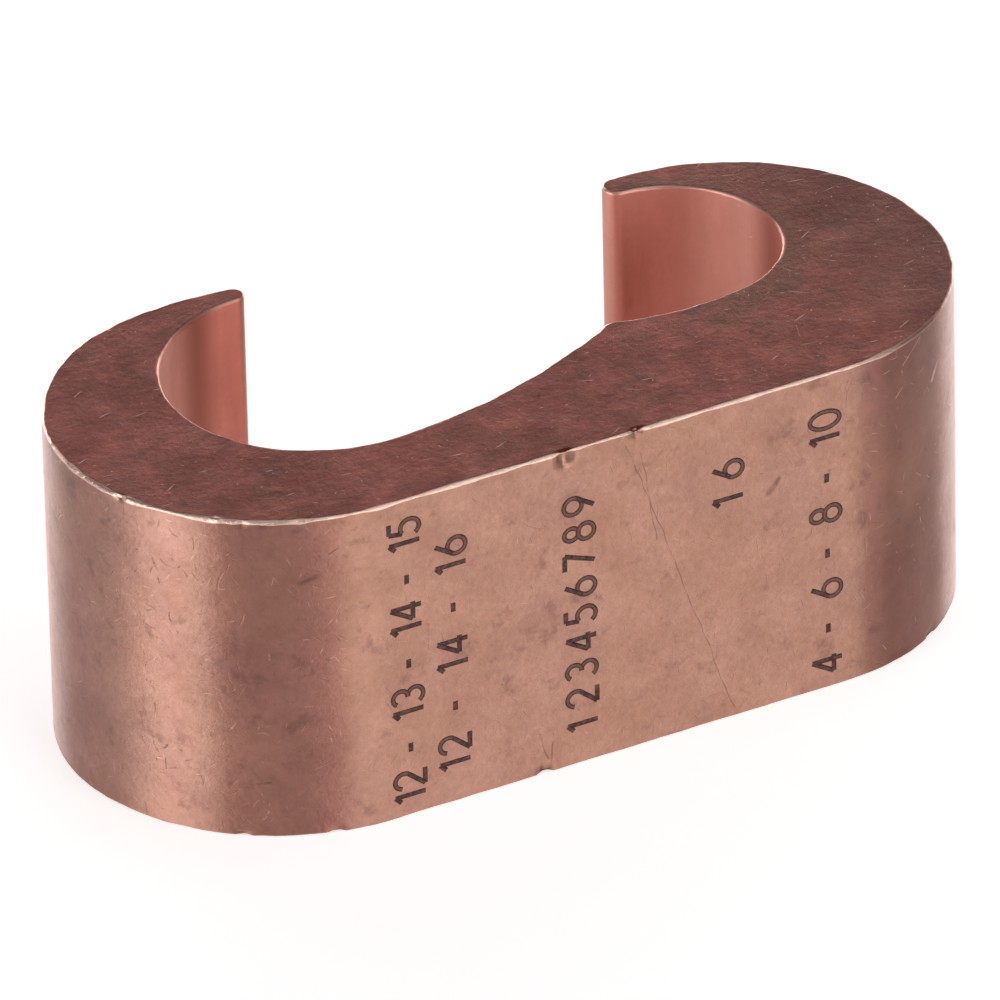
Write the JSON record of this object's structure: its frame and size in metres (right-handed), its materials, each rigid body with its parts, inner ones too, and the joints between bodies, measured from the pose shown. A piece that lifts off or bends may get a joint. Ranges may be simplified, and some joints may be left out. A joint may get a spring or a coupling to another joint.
{
  "type": "e-type grounding connector",
  "caption": "Solid copper compression connector sawn from E-section bar: a large rod groove, a small tap groove, a ridge between them and a hook over each.",
  "frame": {"origin": "on the rod groove's axis, in the lower sawn face", "axes": "+X along the flat back from the rod groove to the tap groove, +Y out of the open side, +Z along the bar"},
  "size_m": [0.056, 0.026, 0.0213],
  "materials": {
    "copper": "satin drawn copper with oxidised sawn ends"
  },
  "bodies": {
    "root": {"connector_body": "copper"}
  },
  "joints": []
}
